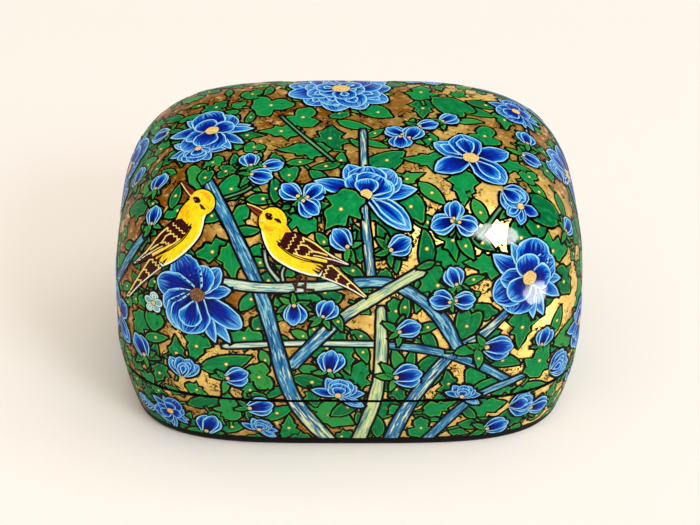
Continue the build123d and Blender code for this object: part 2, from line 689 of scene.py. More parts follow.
yellow = (0.97, 0.72, 0.015)
amber = (0.9, 0.4, 0.01)
maroon = (0.042, 0.006, 0.004)
cream = (0.92, 0.72, 0.2)
white = (0.93, 0.88, 0.76)
horn = (0.05, 0.018, 0.012)
dark = (0.012, 0.003, 0.002)
halo_black = (0.004, 0.003, 0.003)


def zigzag(start, end, teeth, depth):
    """A ragged line between two points."""
    start, end = np.array(start), np.array(end)
    number = 2 * teeth + 1
    ahead = unit(end - start)
    swing = depth * (1 - 2 * (np.arange(number) % 2)) * chance.uniform(0.6, 1.3, number)
    straight = start + np.linspace(0, 1, number)[:, None] * (end - start)
    return straight + swing[:, None] * np.array([-ahead[1], ahead[0]])


def through(shares, widths):
    """The half width of a stroke that has these widths at these shares of its length."""
    return lambda share: np.interp(share, shares, widths)


def lens(thickness):
    """The half width of a stroke that is pointed at both its ends."""
    return lambda share: thickness * np.sin(pi * (0.12 + 0.76 * share))


def spike(thickness):
    """The half width of a stroke that narrows to a point."""
    return lambda share: thickness * (1 - share) + 0.2


def bird(origin, ahead, side, scale, head, look, perched):
    """A small perching bird in profile.

    It is drawn in its own units: forward to the head, and sideways to the back. Origin, ahead and
    side put it into the photograph's frame, head is the head's middle, and look is how far the
    beak turns to the back. A perched one has feet.
    """
    low, step = coats["bird"]
    sheets = []

    def paint(drawing, colour, order, tone=0.0):
        """Lays one part down as a sheet."""
        points, faces, across, along, edge = drawing
        starts = seen(origin + scale * (points[:, :1] * ahead + points[:, 1:] * side))
        sheets.append(Sheet(
            starts, starts * 0, faces, across, along, edge / bird_units, low + step * order,
            seed=chance.uniform(0, 50), tone=tone, colour=colour, layout=points,
        ))

    def bar(points, half_width, colour, order, tone=0.0, columns=2, spacing=4.0, halo=0.0):
        """Lays a stroke down, and its black halo. Its half width is a number or a function along it."""
        line = smooth_line(points, spacing)
        share = np.linspace(0, 1, len(line))
        widths = half_width(share) if callable(half_width) else np.full(len(line), half_width)
        widths = np.maximum(widths, hair)
        if halo:
            paint(flat_stroke(line, widths, columns, halo), halo_black, 0)
        paint(flat_stroke(line, widths, columns, bird_rim), colour, order, tone)

    def disc(middle, radius, colour, order, tone=0.0, halo=0.0):
        """Lays a round spot down, and its halo."""
        rings = (0.7, 0.35) if radius > 4 else ()
        if halo:
            paint(shifted(flat_blob(np.full(20, radius), rings, halo), 0, middle), halo_black, 0)
        paint(shifted(flat_blob(np.full(20, radius), rings, bird_rim), 0, middle), colour, order, tone)

    # Feet
    if perched:
        for hip, heel in (((-26, -14), (-32, -31)), ((-31, -12), (-41, -27))):
            bar([hip, heel], 1.4, horn, 0.3)
            for reach, drop in ((5, 2), (-8, 6), (-3, -3)):
                bar([heel, (heel[0] + reach, heel[1] + drop)], 1.2, horn, 0.6)

    # Tail: one long maroon blade with ragged yellow bars, a yellow edge above and a white one below
    blade = [(-36, 0), (-60, 3), (-78, 5), (-94, 5.5)]
    bar(blade, through([0, 0.4, 0.75, 1], [8, 5, 2.8, 0.5]), maroon, 0.6, 1.0, 4, halo=1.6)
    bars = [((-47, -5), (-45, 8), 3), ((-60, -1), (-58, 7.5), 2), ((-72, 1.5), (-71, 6.5), 1)]
    for start, end, teeth in bars:
        bar(zigzag(start, end, teeth, 1.3), 0.8, cream, 1.4, spacing=9.0)
    bar([(-46, 8.6), (-60, 8.2), (-74, 7.6), (-93, 6.2)], 0.7, (0.93, 0.74, 0.2), 1.8)
    bar([(-46, -6.5), (-60, -2), (-76, 2.2), (-92, 4.6)], 0.6, white, 1.8)

    # Body: a teardrop that narrows to the tail
    neck = np.array(head)
    spine = [neck * 0.96, (22, neck[1] / 3 - 1), (5, -6), (-14, -6), (-30, -5), (-43, -1.5)]
    breast = through([0, 0.15, 0.38, 0.62, 0.82, 1], [11, 13.5, 15.8, 14, 10, 6])
    bar(spine, breast, yellow, 2.6, 2.0, 6, 3.0, 1.9)
    for row in range(4):
        y = -6.5 + 3.1 * row
        bar([(-42.5, y + 1.2), (-34 - 1.5 * (row % 2), y)], spike(1.6), maroon, 3.2)

    # Wing: maroon, with ragged cream bars and edges over rounded feathers, drawn out to a point
    wing = [(9, -1), (-2, 1.5), (-18, 5.5), (-37, 10), (-60, 20)]
    feathers = through([0, 0.04, 0.16, 0.38, 0.65, 0.85, 1], [6.5, 8.5, 10.6, 9.6, 6.2, 2.6, 0.4])
    bar(wing, feathers, maroon, 4, 1.0, 5, 3.0, 1.8)
    for row in range(6):
        y = -7.5 + 3.2 * row
        x = 7.5 - 1.2 * row
        bar([(x - 2, y), (x + 4.5, y + 0.6)], spike(1.7), maroon, 4.2)
    bar(zigzag((0.5, 10.2), (-2, -6.8), 4, 1.3), 0.6, cream, 5.2, spacing=9.0)
    bar(zigzag((-8, 12), (-10.5, -6), 4, 1.5), 0.85, cream, 5.2, spacing=9.0)
    bar(zigzag((-22.5, 8.5), (-20, -2), 3, 1.2), 0.8, cream, 5.2, spacing=9.0)
    bar([(-10, 6), (-15, 8.5), (-23, 8), (-29, 11), (-37, 14)], 0.7, cream, 5.4)
    bar([(-10, -5.5), (-20, -2), (-29, 4), (-40, 9.5)], 0.7, cream, 5.4)
    bar([(-21, -0.8), (-31, 3.6), (-41, 8.4)], lambda share: 1.3 - 0.6 * share, yellow, 5.5)
    bar([(-26, 5), (-33, 9), (-42, 12.5)], 0.5, cream, 5.5)
    bar([(-6, 12.2), (-18, 15), (-32, 15.6), (-44, 16.4)], 0.75, cream, 5.6)
    bar([(-38, 11.5), (-48, 15.5), (-58, 19.2)], 0.42, white, 5.6)
    bar([(-36, 15.8), (-48, 17.8), (-59, 20.2)], 0.42, white, 5.6)
    bar([(9, -9), (-6, -9.3), (-22, -4.6), (-42, 6)], 0.55, dark, 5.8)

    # Head, with the beak turned by look
    def from_head(x, y):
        """A point of the face, with x to the beak."""
        return tuple(neck + turned(np.array([[x, y]]), look)[0])

    bar(
        [from_head(9, 0), from_head(20, -1.4), from_head(31, -2.6)],
        lambda share: 4.4 * (1 - share) ** 0.6 + 0.3, (0.2, 0.035, 0.02), 6, halo=1.2,
    )
    disc(neck, 14.0, yellow, 7, 3.0, 1.8)
    bar([from_head(13, 2.6), from_head(22, 0.6), from_head(31, -2.4)], 0.5, cream, 8)
    bar([from_head(13, -0.6), from_head(20, -1.6), from_head(27, -2.4)], 0.35, dark, 8)
    bar([from_head(8, -8), from_head(2, -9.5), from_head(-6, -7)], lens(2.2), amber, 8)
    bar([from_head(6, -3.5), from_head(10, -6.5)], lens(1.6), (0.95, 0.78, 0.3), 8)
    bar([from_head(2, 1), from_head(6, 1.6), from_head(10.5, 1.4)], lens(3.7), maroon, 8.8)
    disc(from_head(6.2, 1.6), 2.2, dark, 9.4)
    disc(from_head(7.2, 2.4), 0.6, (0.5, 0.2, 0.1), 10)
    bar([from_head(0.5, 3.0), from_head(-3.5, 4.2), from_head(-7.5, 4.0)], lens(1.9), maroon, 9)
    return sheets


# ---- What is painted where ----

leaves = []
sepals = []
branches = []
blooms = []
birds = []

# How squarely the camera has to see a place of the skin for it to count as in the photograph
least_facing = 0.12

# How large the leaves in the photograph are painted, how much of its size each one takes up, and
# the highest level a leaf lies on
front_leaf_scale = 1.2
leaf_share = 0.9
top_level = 5

# Motifs thrown over the rest of the skin: how many places are tried, and how far apart they are
bud_tries = 2500
buds_apart = 17.0
leaf_tries = 26000
leaves_apart = 5.4


def direction_at(pixel, angle):
    """Which way on the skin an angle in the photograph goes, anticlockwise from the right."""
    turn = radians(angle)
    here, there = seen([pixel, (pixel[0] + 4 * cos(turn), pixel[1] - 4 * sin(turn))])
    return here, unit(there - here)


# Blooms seen in the photograph's frame: pixel, kind, half width in millimetres, and where up points
front_blooms = [
    ((341, 88), "daisy", 17.5, 90),
    ((212, 130), "rose", 12.5, 129),
    ((198, 148), "lotus", 9.5, -92),
    ((366, 194), "lotus", 16.0, 90),
    ((471, 157), "star", 13.6, 92),
    ((504, 190), "tulip", 9.0, -35),
    ((521, 206), "star", 6.0, 200),
    ((530, 278), "rose", 12.8, 90),
    ((197, 295), "peony", 14.5, 90),
    ((153, 303), "primrose", 3.6, 90),
    ((516, 111), "rose", 8.5, 120),
    ((563, 181), "tulip", 9.0, 110),
    ((182, 376), "tulip", 8.0, 80),
    ((338, 396), "lotus", 8.5, 92),
    ((462, 397), "lotus", 6.0, 90),
    ((170, 411), "rose", 6.5, 90),
    ((259, 430), "lotus", 6.0, 90),
    ((511, 406), "tulip", 9.0, 10),
    ((551, 371), "tulip", 9.0, 35),
]

# The same on the sides that the photograph doesn't show: azimuth, elevation, kind and half width
far_blooms = [
    (128, 12, "rose", 14.0),
    (92, 22, "star", 13.0),
    (150, 38, "daisy", 14.0),
    (180, 8, "star", 14.0),
    (208, 30, "rose", 14.0),
    (232, 8, "lotus", 12.0),
    (262, 20, "rose", 13.0),
    (292, -2, "star", 10.0),
    (68, -4, "rose", 9.5),
    (160, -8, "tulip", 9.0),
    (206, -12, "lotus", 9.0),
    (248, -14, "tulip", 8.5),
    (110, -12, "lotus", 9.0),
    (180, 52, "lotus", 12.0),
    (100, -30, "tulip", 7.0),
    (145, -27, "tulip", 7.5),
    (188, -32, "tulip", 7.5),
    (226, -28, "tulip", 7.0),
    (270, -28, "tulip", 7.5),
    (300, -24, "tulip", 6.5),
]

# Buds in the photograph's frame: pixel, and where the tip points
front_buds = [
    (153, 215, 75), (159, 181, 60), (273, 164, 12), (250, 159, 100), (261, 175, -8), (290, 191, 150),
    (314, 191, 40), (309, 207, -50), (341, 239, 130), (400, 245, 30), (294, 315, 270), (327, 310, 60),
    (409, 329, 20), (454, 277, 110), (465, 301, 0), (441, 301, 170), (499, 348, 0), (545, 337, 70),
    (395, 131, 160), (412, 132, 60), (401, 141, -80), (428, 124, 10), (449, 118, 20), (527, 138, 100),
    (532, 159, -30), (454, 210, 90), (443, 224, 200), (468, 225, -20), (331, 362, 80), (408, 376, 10),
    (237, 377, 10), (140, 345, 110), (569, 226, 70), (577, 325, 90), (210, 425, 60), (539, 406, 20),
    (160, 135, 205), (138, 176, 70), (260, 407, 10), (497, 426, 20),
]

# The buds below this pixel row are painted larger
low_bud_row = 340
low_bud_scale = 1.16

bloom_spots = []
for pixel, kind, size, angle in front_blooms:
    place, heading = direction_at(pixel, angle)
    blooms += bloom(place, heading, kind, size)
    bloom_spots.append((place, size))
for azimuth, elevation, kind, size in far_blooms:
    place = facing(azimuth, elevation)
    heading = np.array([chance.normal(0, 0.3), chance.normal(0, 0.3), 1.0])
    blooms += bloom(place, heading, kind, size)
    bloom_spots.append((place, size))

for x, y, angle in front_buds:
    place, heading = direction_at((x, y), angle)
    size = chance.uniform(6.2, 7.8) * (low_bud_scale if y > low_bud_row else 1.0)
    blue, green = bud(place, heading, size)
    blooms += blue
    sepals += green


def random_spots(number):
    """Places all over the skin, in no order."""
    corner = np.array([half_length, half_width, height / 2])
    spots = chance.uniform(-1, 1, (number, 3))
    axis = chance.choice(3, number, p=[0.26, 0.37, 0.37])
    spots[np.arange(number), axis] = np.sign(spots[np.arange(number), axis])
    spots = onto_skin(spots * corner + [0, 0, height / 2], tries=14)
    return spots[(spots[:, 2] > foot_band - 1) & (spots[:, 2] < height + 1)]


def in_photo(place):
    """Whether the camera sees this place of the skin squarely."""
    view = unit(eye - place)
    return outward(place[None])[0] @ view > least_facing


def thrown(number, apart, kept_off):
    """Places at least so far apart, and off the discs given as (place, radius)."""
    spots = []
    for place in random_spots(number):
        if spots and np.linalg.norm(np.array(spots) - place, axis=1).min() < apart:
            continue
        if any(np.linalg.norm(place - other) < radius for other, radius in kept_off):
            continue
        spots.append(place)
    return spots


def any_heading():
    """A random direction."""
    return chance.normal(0, 1, 3)


# Buds on the sides that the photograph doesn't show
kept_off = [(place, radius * 0.85) for place, radius in bloom_spots]
for place in thrown(bud_tries, buds_apart, kept_off):
    if in_photo(place):
        continue
    size = chance.uniform(5.8, 7.6)
    blue, green = bud(place, any_heading(), size)
    blooms += blue
    sepals += green

# Branches in the photograph's frame: pixels, width in millimetres, taper, tone and level
front_branches = [
    (
        [(205, 176), (216, 197), (236, 238), (258, 288), (273, 335), (286, 382), (302, 412), (332, 444)],
        3.0, 1.6, (-0.1, 0.5), 4,
    ),
    ([(363, 128), (364, 165), (365, 215), (372, 284)], 1.9, 1.4, (0.4, 0.4), 1),
    ([(381, 307), (381, 360), (374, 402), (357, 444)], 2.8, 1.5, (0.85, 0.85), 3),
    ([(216, 282), (262, 288), (318, 287), (352, 283)], 2.8, 1.1, (2.0, 2.0), 5),
    ([(345, 284), (385, 283), (412, 294), (440, 318), (460, 352)], 2.9, 1.3, (-0.1, -0.1), 2),
    ([(424, 270), (372, 300), (334, 325), (290, 368)], 2.9, 1.35, (0.9, 0.1), 3),
    ([(222, 347), (300, 344), (380, 345)], 1.7, 1.1, (2.0, 2.0), 0),
    ([(380, 345), (430, 351), (475, 364), (514, 384)], 2.3, 1.2, (0.1, 0.1), 0),
    ([(510, 310), (482, 336), (455, 352), (430, 378), (406, 410), (388, 444)], 2.6, 1.6, (0.35, 0.35), 0),
    ([(541, 368), (510, 382), (470, 401), (422, 444)], 1.6, 1.9, (0.1, 0.1), 3),
    ([(264, 250), (268, 267), (281, 284)], 0.8, 1.3, (2.0, 2.0), 3),
    ([(288, 262), (282, 273), (284, 284)], 0.6, 1.2, (2.0, 2.0), 3),
    ([(262, 178), (245, 190), (222, 198)], 0.7, 1.2, (3.0, 3.0), 0),
    ([(503, 205), (490, 222), (478, 240)], 0.9, 1.2, (3.0, 3.0), 0),
    ([(281, 115), (300, 132), (334, 160)], 0.8, 1.2, (3.0, 3.0), 0),
    ([(526, 124), (528, 134)], 0.9, 1.0, (0.1, 0.1), 4),
]
for pixels, width, taper, tone, level in front_branches:
    branches.append(branch(seen(smooth_line(pixels, 3.6)), width, taper, tone, level))

# The same on the other sides: azimuths and elevations
far_branches = [
    ([(100, -40), (96, -10), (104, 20), (128, 40)], 4.2, 0.6, (0.1, 0.1), 1),
    ([(140, -42), (128, -15), (112, 5), (80, 14)], 3.6, 0.6, (0.6, 0.6), 2),
    ([(175, -44), (178, -15), (165, 15), (170, 45)], 4.4, 0.6, (0.8, 0.8), 1),
    ([(150, -5), (175, -12), (205, -5), (235, 0)], 2.6, 0.8, (0.2, 0.2), 0),
    ([(215, -42), (205, -15), (222, 15), (212, 45)], 4.0, 0.6, (0.2, 0.2), 2),
    ([(258, -42), (252, -12), (266, 14), (258, 28)], 4.2, 0.6, (0.6, 0.6), 1),
    ([(285, -40), (272, -14), (292, 8), (300, 24)], 3.4, 0.7, (0.2, 0.2), 3),
    ([(235, 22), (262, 4), (290, -8)], 2.2, 1.2, (0.3, 0.3), 0),
    ([(62, -36), (76, -10), (84, 6), (110, 12)], 3.0, 0.7, (0.3, 0.3), 3),
]
for angles, width, taper, tone, level in far_branches:
    line = np.array([facing(azimuth, elevation) for azimuth, elevation in smooth_line(angles, 1.6)])
    branches.append(branch(line, width, taper, tone, level))

# The two birds: middle pixel, body's angle in degrees, side the back is on, scale, head, look, and
# whether it is perched
bird_spots = [
    ((290, 243), 141.0, -1, 1.0, (27.0, 6.0), 0.0, True),
    ((180, 229), 55.4, 1, 0.92, (37.5, -3.2), 1.5, False),
]
for middle, angle, back, scale, head, look, perched in bird_spots:
    turn = radians(angle)
    ahead = np.array([cos(turn), -sin(turn)])
    side = back * np.array([-sin(turn), -cos(turn)])
    birds += bird(np.array(middle, dtype=float), ahead, side, scale, head, look, perched)

# Leaves in the photograph's frame: pixel, where the tip points, half length in millimetres, kind
front_leaves = [
    (216, 106, 30, 4.2, "oak"), (271, 104, 5, 6.2, "clover"), (247, 134, 0, 4.8, "ivy"),
    (281, 130, 180, 6.0, "ivy"), (169, 158, 215, 4.6, "ivy"), (150, 143, 200, 3.8, "heart"),
    (235, 160, 95, 3.6, "lance"), (199, 176, 270, 5.0, "heart"), (254, 146, 0, 3.0, "clover"),
    (303, 116, 60, 5.6, "clover"), (339, 112, 120, 3.2, "clover"), (354, 124, -14, 5.0, "lance"),
    (330, 137, 80, 6.6, "oak"), (304, 148, 180, 7.0, "ivy"), (289, 174, 270, 3.5, "heart"),
    (341, 159, 95, 4.0, "lance"), (326, 165, 190, 4.0, "lance"), (375, 132, 25, 3.4, "lance"),
    (376, 143, -15, 3.6, "lance"), (357, 142, 150, 2.8, "lance"), (387, 159, 30, 6.2, "heart"),
    (365, 106, 200, 4.2, "clover"), (378, 111, -20, 4.6, "heart"), (300, 161, 5, 3.6, "lance"),
    (321, 177, -40, 4.4, "lance"), (423, 107, 270, 5.6, "ivy"), (421, 91, 90, 5.2, "oak"),
    (450, 104, 155, 6.6, "heart"), (474, 110, -15, 6.2, "lance"), (470, 120, 0, 3.7, "lance"),
    (486, 104, -12, 5.4, "lance"), (505, 119, 280, 5.4, "ivy"), (485, 135, 80, 5.2, "clover"),
    (514, 165, -15, 5.6, "ivy"), (427, 159, 175, 6.2, "ivy"), (407, 178, 20, 5.2, "ivy"),
    (464, 185, 270, 6.8, "ivy"), (432, 192, -40, 5.0, "lance"), (430, 138, 90, 3.2, "heart"),
    (414, 123, 100, 3.0, "heart"), (540, 191, -50, 4.2, "lance"), (545, 151, -40, 4.4, "lance"),
    (530, 176, 20, 3.2, "clover"), (175, 195, 70, 4.0, "lance"), (177, 210, 20, 4.4, "lance"),
    (237, 217, 50, 4.4, "clover"), (247, 182, -30, 4.6, "ivy"), (231, 188, 230, 5.2, "heart"),
    (248, 231, 0, 3.2, "lance"), (212, 252, 190, 5.6, "ivy"), (231, 263, 280, 5.2, "ivy"),
    (263, 198, 0, 4.4, "lance"), (276, 188, 95, 4.4, "lance"), (255, 254, 60, 2.8, "heart"),
    (260, 263, -10, 3.2, "lance"), (145, 234, 250, 4.8, "ivy"), (137, 206, 200, 5.0, "oak"),
    (300, 219, -35, 5.2, "clover"), (293, 202, 210, 3.6, "lance"),
    (323, 184, 175, 4.6, "lance"), (386, 212, -60, 8.2, "oak"), (324, 242, -50, 3.2, "lance"),
    (360, 243, 100, 5.0, "lance"), (384, 239, 110, 4.2, "lance"), (395, 259, -80, 4.0, "lance"),
    (380, 254, 200, 3.8, "lance"), (353, 271, -30, 3.8, "lance"), (427, 249, 90, 5.4, "lance"),
    (451, 260, 20, 6.4, "heart"), (488, 265, 175, 6.2, "ivy"), (474, 280, 20, 3.0, "lance"),
    (421, 296, -95, 5.2, "lance"), (438, 286, -60, 6.0, "oak"), (484, 313, 0, 3.8, "heart"),
    (522, 238, 100, 5.8, "heart"), (539, 226, -60, 4.6, "heart"), (548, 211, -30, 6.4, "heart"),
    (554, 251, 10, 6.0, "oak"), (565, 282, -60, 5.2, "oak"), (481, 212, -60, 4.4, "lance"),
    (453, 240, -80, 5.6, "ivy"), (466, 246, -60, 4.2, "lance"), (428, 222, -20, 4.4, "lance"),
    (411, 206, -50, 5.2, "heart"), (483, 243, -35, 3.8, "lance"), (138, 325, 250, 5.2, "ivy"),
    (153, 312, 270, 6.2, "clover"), (155, 338, 0, 4.0, "lance"), (153, 355, 80, 4.4, "lance"),
    (176, 354, 95, 5.8, "ivy"), (196, 347, 250, 5.8, "ivy"), (226, 365, 12, 7.5, "lance"),
    (265, 361, -75, 3.4, "lance"), (258, 330, 80, 4.2, "clover"), (244, 339, 170, 4.8, "oak"),
    (251, 300, 40, 4.6, "lance"), (259, 378, -50, 4.8, "clover"), (250, 391, 270, 3.8, "clover"),
    (273, 393, 15, 4.4, "lance"), (205, 403, 5, 5.4, "lance"), (229, 408, 100, 5.2, "oak"),
    (289, 300, 200, 4.2, "clover"), (306, 300, -10, 4.0, "clover"), (325, 293, 90, 4.8, "clover"),
    (303, 337, -30, 3.5, "lance"), (314, 330, 80, 3.4, "lance"), (361, 337, -25, 3.2, "lance"),
    (396, 312, 100, 3.8, "clover"), (405, 308, 85, 3.6, "lance"), (394, 333, -60, 3.6, "lance"),
    (416, 344, -20, 3.4, "lance"), (430, 343, -60, 4.2, "lance"), (428, 328, 20, 3.4, "lance"),
    (327, 349, 10, 4.0, "heart"), (344, 358, -70, 5.8, "ivy"), (363, 353, -60, 3.8, "lance"),
    (357, 377, 60, 5.6, "oak"), (313, 372, -20, 4.2, "lance"), (312, 383, -12, 5.6, "lance"),
    (398, 362, 110, 4.4, "lance"), (411, 360, 80, 3.2, "lance"), (428, 364, 40, 4.6, "lance"),
    (396, 390, -60, 6.0, "ivy"), (430, 381, 30, 5.0, "lance"), (329, 416, -20, 7.5, "oak"),
    (348, 408, 30, 5.6, "lance"), (388, 409, 20, 4.4, "heart"), (378, 427, 95, 4.6, "lance"),
    (289, 429, 90, 5.0, "ivy"), (277, 414, 20, 5.6, "lance"), (430, 417, -10, 5.2, "lance"),
    (421, 429, 90, 4.2, "clover"), (467, 327, 250, 4.8, "heart"), (523, 328, 260, 6.6, "ivy"),
    (488, 337, 20, 3.6, "heart"), (503, 361, -5, 5.6, "lance"), (556, 345, 40, 4.6, "lance"),
    (572, 333, 80, 6.0, "lance"), (449, 385, 100, 4.8, "ivy"), (475, 375, 90, 4.0, "heart"),
    (486, 386, 30, 4.6, "lance"), (531, 388, 15, 5.2, "lance"), (440, 408, 20, 4.8, "ivy"),
    (486, 407, 10, 5.6, "oak"), (517, 418, 10, 6.4, "ivy"), (478, 424, 10, 5.4, "lance"),
    (190, 425, -20, 5.4, "oak"), (150, 395, 240, 5.6, "ivy"), (232, 428, 10, 5.2, "lance"),
    (558, 321, 75, 4.4, "lance"), (567, 350, 60, 4.6, "ivy"), (172, 118, 190, 4.4, "lance"),
    (147, 131, 250, 4.2, "oak"), (160, 148, 230, 3.8, "ivy"), (140, 162, 240, 4.2, "oak"),
    (147, 190, 260, 4.4, "ivy"), (156, 168, 60, 3.2, "lance"), (189, 117, 20, 3.4, "lance"),
    (205, 117, 200, 3.2, "clover"), (136, 188, 80, 3.6, "lance"), (152, 203, 150, 3.0, "lance"),
    (548, 170, -60, 4.0, "oak"), (562, 205, -70, 4.0, "lance"), (529, 148, -20, 3.2, "heart"),
]

# Leaves painted over a branch or another leaf's stalk
over_leaves = [
    (540, 361, 60, 6.6, "oak"), (470, 350, 10, 5.0, "lance"), (479, 359, -85, 3.8, "lance"),
    (338, 322, -60, 3.8, "lance"), (426, 266, 200, 2.8, "lance"), (205, 177, 250, 3.4, "heart"),
]

# Leaves painted over a bloom's foot
bloom_leaves = [(341, 209, 232, 8.0, "oak")]

leaf_spots = []


def add_leaf(place, heading, size, kind, coat="leaf"):
    """Adds a leaf at the lowest level free there."""
    level = 1
    if coat == "leaf":
        level = min(free_level(place, size * leaf_share, leaf_spots), top_level)
        leaf_spots.append((place, size * leaf_share, level))
    return leaf(place, heading, size, kind, level, chance.random() < dotted_share, coat)


for rows, scale, coat, sheets in (
    (front_leaves, front_leaf_scale, "leaf", leaves),
    (over_leaves, 1.0, "front", sepals),
    (bloom_leaves, 1.0, "over", sepals),
):
    for x, y, angle, size, kind in rows:
        place, heading = direction_at((x, y), angle)
        sheets.extend(add_leaf(place, heading, size * scale, kind, coat))

# Elsewhere, some leaves spread out behind each bloom, and the rest are thrown all over
for place, radius in bloom_spots:
    if in_photo(place):
        continue
    number = max(int(radius * 0.5), 3)
    first = chance.uniform(0, 2 * pi)
    right, up = tangent_frame(place, np.array([0.3, 0.2, 1.0]))
    for index in range(number):
        turn = first + 2 * pi * index / number + chance.normal(0, 0.2)
        heading = cos(turn) * right + sin(turn) * up
        spot = walk(place[None], heading[None] * (radius + 1.0))[0]
        leaves += add_leaf(spot, heading, chance.uniform(5.2, 7.4), chance.choice(["ivy", "oak", "heart"]))

hidden = [(place, radius * 0.75) for place, radius in bloom_spots]
settled = [(place, radius) for place, radius, _ in leaf_spots]
for place in thrown(leaf_tries, leaves_apart, hidden):
    # They keep further off the others at the photograph's right, and overlap them on the base
    room = 2.6 if in_photo(place) and place[0] > 0 and place[2] > 30 else 1.0
    if place[2] < seam + 3:
        room = -1.0
    if any(np.linalg.norm(place - other) < radius + room for other, radius in settled):
        continue
    size = chance.uniform(2.4, 4.2) if in_photo(place) else chance.uniform(3.6, 6.4)
    kind = chance.choice(["ivy", "clover", "oak", "heart", "lance"], p=[0.28, 0.16, 0.28, 0.12, 0.16])
    leaves += add_leaf(place, any_heading(), size, kind)


# ---- Meshes ----

# How far a sheet has to reach over the edge of a piece to count as part of it
least_overlap = 0.05

# The part of its cell of the bake map that a sheet leaves free at each side, and the part it fills
cell_margin = 0.04
cell_filled = 0.92

# How a piece's rings fill the bake map, out from its middle
map_reach = 0.49

# The mean half size of the plan, which turns its shares into about millimetres
mean_half = (half_length + half_width) / 2

# How many points a profile or a plan is first worked out at, and how near the crown it starts
fine_points = 1500
plan_points = 2881
crown_start = radians(89.6)


def laid(sheets):
    """The finished points of these sheets, each at its own depth under the finished skin."""
    starts = np.vstack([sheet.starts for sheet in sheets])
    moves = np.vstack([sheet.moves for sheet in sheets])
    depth = np.concatenate([np.full(len(sheet.starts), sheet.level) for sheet in sheets])
    points = walk(starts, moves)
    return points + outward(points) * depth[:, None]


def bake_layout(sheets):
    """A place in the bake map for each sheet's points: one cell of a square grid for each sheet."""
    cells = int(np.ceil(len(sheets) ** 0.5))
    spots = []
    for index, sheet in enumerate(sheets):
        low = sheet.layout.min(axis=0)
        size = np.maximum(np.ptp(sheet.layout, axis=0), 1e-6)
        corner = np.array([index % cells, index // cells])
        spots.append((corner + cell_margin + cell_filled * (sheet.layout - low) / size) / cells)
    return np.vstack(spots)


def new_mesh(name, points, faces, spots):
    """A mesh of points in millimetres, each with its spot in the bake map."""
    mesh = bpy.data.meshes.new(name)
    mesh.from_pydata(points / 1000, [], faces)
    corners = np.empty(len(mesh.loops), dtype=int)
    mesh.loops.foreach_get("vertex_index", corners)
    mesh.uv_layers.new(name="OFBake").data.foreach_set("uv", spots[corners].ravel())
    return mesh


def new_piece(name, mesh, material, body):
    """An object for a mesh, riding on its body."""
    piece = bpy.data.objects.new(name, mesh)
    bpy.context.scene.collection.objects.link(piece)
    mesh.materials.append(material)
    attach(piece, body)
    return piece


def smooth_on_skin(mesh):
    """Shades a mesh as the skin it lies on."""
    mesh.polygons.foreach_set("use_smooth", np.ones(len(mesh.polygons), dtype=bool))
    points = np.empty(len(mesh.vertices) * 3)
    mesh.vertices.foreach_get("co", points)
    mesh.normals_split_custom_set_from_vertices(outward(points.reshape(-1, 3) * 1000))


def paint_piece(name, sheets, material, low, high, body):
    """One mesh of all the sheets between two heights."""
    ends = np.cumsum([len(sheet.starts) for sheet in sheets])
    kept = []
    points = []
    faces = []
    first = 0
    for sheet, spots in zip(sheets, np.split(laid(sheets), ends[:-1])):
        if spots[:, 2].max() <= low + least_overlap or spots[:, 2].min() >= high - least_overlap:
            continue
        a, b, c = (spots[corner] for corner in sheet.faces[len(sheet.faces) // 2][:3])
        order = 1 if np.cross(b - a, c - b) @ outward(a[None])[0] > 0 else -1
        faces += [tuple(first + corner for corner in face)[::order] for face in sheet.faces]
        first += len(spots)
        kept.append(sheet)
        points.append(spots)
    mesh = new_mesh(name, np.vstack(points), faces, bake_layout(kept))
    for fact in ("across", "along", "edge", "seed", "tone", "fold"):
        values = [np.broadcast_to(getattr(sheet, fact), len(sheet.starts)) for sheet in kept]
        values = np.concatenate(values).astype(np.float32)
        mesh.attributes.new(fact, "FLOAT", "POINT").data.foreach_set("value", values)
    colours = [np.broadcast_to((*sheet.colour, 1.0), (len(sheet.starts), 4)) for sheet in kept]
    paint_fact = mesh.attributes.new("paint", "FLOAT_COLOR", "POINT")
    paint_fact.data.foreach_set("color", np.vstack(colours).ravel())
    work = bmesh.new()
    work.from_mesh(mesh)
    for level, keep_above in ((low, True), (high, False)):
        everything = [*work.verts, *work.edges, *work.faces]
        bmesh.ops.bisect_plane(
            work, geom=everything, dist=1e-7, plane_co=(0, 0, level / 1000), plane_no=(0, 0, 1),
            clear_inner=keep_above, clear_outer=not keep_above,
        )
    work.to_mesh(mesh)
    work.free()
    smooth_on_skin(mesh)
    new_piece(name, mesh, material, body)


def even_line(points, spacing):
    """Points along a line, evenly spaced."""
    lengths = lengths_along(points)
    number = max(int(round(lengths[-1] / spacing)), 1)
    wanted = np.linspace(0, lengths[-1], number + 1)
    return np.stack([np.interp(wanted, lengths, column) for column in points.T], axis=1)


def superellipse(turns, power):
    """Where a rounded square that reaches 1 each way is met at these turns."""
    reach = (np.abs(np.cos(turns)) ** power + np.abs(np.sin(turns)) ** power) ** (1 / power)
    return np.stack([np.cos(turns) / reach, np.sin(turns) / reach], axis=1)


def plan_shares(spacing):
    """The plan outline as shares of the half sizes, evenly spaced all round."""
    half_sizes = [half_length, half_width]
    outline = superellipse(np.linspace(0, 2 * pi, plan_points), plan_square)
    return even_line(outline * half_sizes, spacing)[:-1] / half_sizes


def side_share(heights):
    """The share of the plan's size that the side has at these heights, up to the widest."""
    return 1 - foot_draw_in * (np.clip(widest - heights, 0, None) / widest) ** foot_curve


